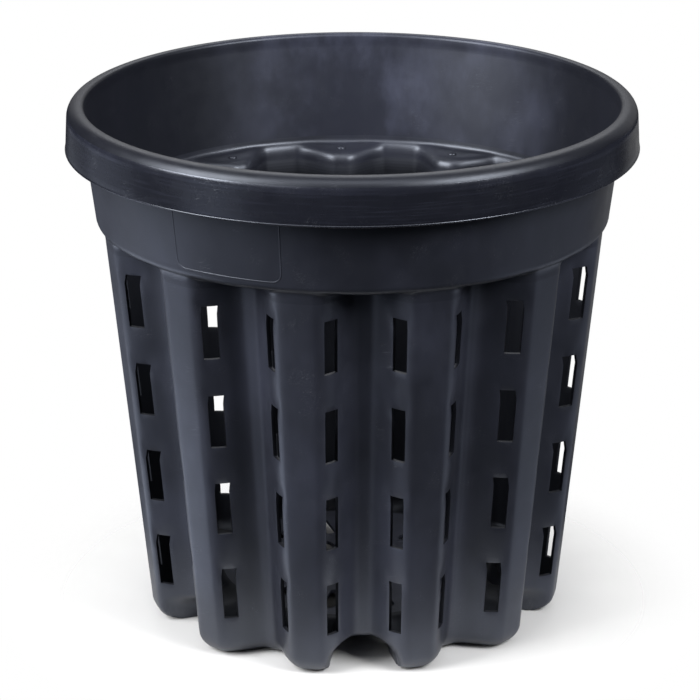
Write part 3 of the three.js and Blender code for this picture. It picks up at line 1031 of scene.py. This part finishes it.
def looksBack(face, middle):  # whether a face looks at its lobe's middle, as the edges of the slots do, and so is painted with shade
    ahead = Vector((sin(middle), -cos(middle)))
    aside = Vector((cos(middle), sin(middle)))
    back = face.normal.xy.dot(aside) * face.center.xy.dot(aside) < recessShadeLimit["back"]
    return back and face.normal.xy.dot(ahead) < recessShadeLimit["ahead"]


# painted shade: inside faces take darker copies of the plastic in steps from the top down
def paintInsideShade(mesh, finishes, limit, middle):
    mesh.materials.clear()
    for finish in finishes:
        mesh.materials.append(plastics[finish])
    top = max(v.co.z for v in mesh.vertices)
    for face in mesh.polygons:
        if looksInside(face, limit) or middle is not None and looksBack(face, middle):
            step = int((top - face.center.z) / recessShadeStep)
            face.material_index = min(1 + step, len(finishes) - 1)


def divideWall(whole):
    points = [tuple(v.co) for v in whole.data.vertices]
    groups = facesByNode(whole.data)
    for node, faces in groups.items():
        used = sorted({k for face in faces for k in face})
        number = {k: i for i, k in enumerate(used)}
        name = camelName(node)
        mesh = bpy.data.meshes.new(name)
        mesh.from_pydata([points[k] for k in used], [], [[number[k] for k in face] for face in faces])
        shape = bmesh.new()
        shape.from_mesh(mesh)
        closeCuts(shape)
        shape.to_mesh(mesh)
        shape.free()
        finishEdges(mesh)
        kind = node.rstrip("_0123456789")
        mesh.materials.append(plastics[nodePlastic[kind]])
        if kind in insideShadeFinish:
            finishes, limit = insideShadeFinish[kind]
            middle = 2 * halfPitch * (int(node[-2:]) - 1) if kind == "lobe" else None
            paintInsideShade(mesh, [nodePlastic[kind], *finishes], limit, middle)
        addPiece(name, mesh, node)
    bpy.data.objects.remove(whole)
    return len(groups)


def camelName(node):
    first, *rest = node.split("_")
    return plainNames.get(node) or first + "".join(word.capitalize() for word in rest)


def addPiece(name, mesh, node):
    obj = addObject(name, mesh)
    ridePiece(obj)
    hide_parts(node)


def ridePiece(obj):
    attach(obj, "root")


def addTrim(name, tree, values):  # a small piece with a shape tree of its own
    obj = treeObject(name, tree, values)
    bakeShape(obj)
    finishEdges(obj.data)
    ridePiece(obj)


plainNames = {"collar": "collarWall", "shelf": "shelfRing", "floor": "raisedFloor"}
nodePlastic = {
    "rim_crown": "crownPlastic",
    "rim_skirt": "skirtPlastic",
    "collar": "collarPlastic",
    "shelf": "collarPlastic",
    "lobe": "lobePlastic",
    "foot": "lobePlastic",
    "floor": "floorPlastic",
}
recessShadeStep = 0.0016
insideShadeFinish = {  # painted shade: the darker finishes of the faces that look inwards, and how squarely they have to
    "rim_crown": (["shadedInsidePlastic"], -0.7),
    "collar": (["shadedInsidePlastic"], 0),
    "lobe": (recessShadeNames, 0.05),
    "foot": (recessShadeNames[-1:], -0.35),
}
pieceCount = divideWall(makeWall())
print("wall divided into", pieceCount, "pieces")


# Stacking lugs: a low dome on the shelf over each valley

lugShape = {"diameter": 0.005, "height": 0.0014, "segments": 20, "rings": 12}


def lugTree():
    sizes = ("Ring Radius", "Level", "Diameter", "Height", "Turn")
    tree, given, result = shapeTree("stackingLugs", sizes, ["Count"])
    circle = {"Vertices": given["Count"], "Radius": given["Ring Radius"]}
    ring = nodeValue(tree, "GeometryNodeMeshCircle", circle)
    lift = vector(tree, 0, 0, given["Level"])
    turn = vector(tree, 0, 0, given["Turn"])
    turned = {"Geometry": ring, "Translation": lift, "Rotation": turn}
    places = nodeValue(tree, "GeometryNodeTransform", turned)
    sphere = {"Segments": lugShape["segments"], "Rings": lugShape["rings"], "Radius": 1.0}
    ball = nodeValue(tree, "GeometryNodeMeshUVSphere", sphere)
    half = calc(tree, "DIVIDE", given["Diameter"], 2)
    size = vector(tree, half, half, given["Height"])
    spread = {"Points": places, "Instance": ball, "Scale": size}
    domes = nodeValue(tree, "GeometryNodeInstanceOnPoints", spread)
    return closeTree(tree, given, result, domes)


def makeLugs():
    inside = shelfHigh.x - wall
    lip = valleyRadius(shelfUnder) - wall
    values = {
        "Count": wallShape["lobes"],
        "Material": plastics["collarPlastic"],
        "Ring Radius": (inside + lip) / 2,
        "Level": shelfUnder + wall,
        "Diameter": lugShape["diameter"],
        "Height": lugShape["height"],
        "Turn": halfPitch,
    }
    addTrim("stackingLugs", lugTree(), values)


def tube(tree, path, points, radius):
    profile = nodeValue(tree, "GeometryNodeCurvePrimitiveCircle", {"Resolution": points, "Radius": radius})
    return nodeValue(tree, "GeometryNodeCurveToMesh", {"Curve": path, "Profile Curve": profile})


# Label bead: a fine raised rectangle on the collar's front, part of it under the skirt

beadShape = {
    "start": -27.7,  # degrees from the front lobe's middle
    "end": -2.8,
    "low": 0.2241,  # height of the bead's lower run
    "high": 0.268,
    "corner": 0.005,
    "round": 0.0008,  # radius of the bead's back
    "height": 0.00014,
    "points": (240, 32),  # along the bead and round it
    "cornerPoints": 6,
}


def beadTree():
    sizes = ("Width", "Height", "Corner", "Round", "Middle Angle", "Middle Height", "Radius", "Slope")
    tree, given, result = shapeTree("labelBead", sizes)
    along, around = beadShape["points"]
    sides = {"Width": given["Width"], "Height": given["Height"]}
    outline = nodeValue(tree, "GeometryNodeCurvePrimitiveQuadrilateral", sides)
    corners = {"Curve": outline, "Radius": given["Corner"], "Count": beadShape["cornerPoints"]}
    rounded = nodeValue(tree, "GeometryNodeFilletCurve", corners, mode="POLY")
    path = nodeValue(tree, "GeometryNodeResampleCurve", {"Curve": rounded, "Count": along})
    flat = partsOf(tree, nodeValue(tree, "GeometryNodeInputPosition"))
    radius = calc(tree, "ADD", given["Radius"], calc(tree, "MULTIPLY", flat[1], given["Slope"]))
    angle = calc(tree, "ADD", given["Middle Angle"], calc(tree, "DIVIDE", flat[0], given["Radius"]))
    place = polarPlace(tree, radius, angle, calc(tree, "ADD", given["Middle Height"], flat[1]))
    bent = nodeValue(tree, "GeometryNodeSetPosition", {"Geometry": path, "Position": place})
    return closeTree(tree, given, result, tube(tree, bent, around, given["Round"]))


def makeBead():
    rise = crownLow.z - shelfUnder - wallShape["collarRound"]
    slope = (collarHigh.x - shelfHigh.x) / rise
    middle = (beadShape["low"] + beadShape["high"]) / 2
    radius = collarHigh.x - slope * (crownLow.z - middle) + beadShape["height"] - beadShape["round"]
    start, end = radians(beadShape["start"]), radians(beadShape["end"])
    values = {
        "Material": plastics["collarPlastic"],
        "Width": (end - start) * radius,
        "Height": beadShape["high"] - beadShape["low"],
        "Corner": beadShape["corner"],
        "Round": beadShape["round"],
        "Middle Angle": (start + end) / 2,
        "Middle Height": middle,
        "Radius": radius,
        "Slope": slope,
    }
    addTrim("labelBead", beadTree(), values)


# Lip: a fine ridge where the mould parted, along the skirt's lower edge

def lipTree():
    tree, given, result = shapeTree("skirtLip", ("Ring Radius", "Level", "Width"))
    along, around = rimShape["lipPoints"]
    ring = {"Resolution": along, "Radius": given["Ring Radius"]}
    path = nodeValue(tree, "GeometryNodeCurvePrimitiveCircle", ring)
    lift = vector(tree, 0, 0, given["Level"])
    placed = nodeValue(tree, "GeometryNodeTransform", {"Geometry": path, "Translation": lift})
    half = calc(tree, "DIVIDE", given["Width"], 2)
    return closeTree(tree, given, result, tube(tree, placed, around, half))


def makeLip():
    half = rimShape["lipWidth"] / 2
    values = {
        "Material": plastics["skirtPlastic"],
        "Ring Radius": rimRadius + rimShape["lipDepth"] - half,
        "Level": skirtLow.z + half,
        "Width": rimShape["lipWidth"],
    }
    addTrim("skirtLip", lipTree(), values)


makeLugs()
makeBead()
makeLip()
print("lugs, label bead and lip ready")
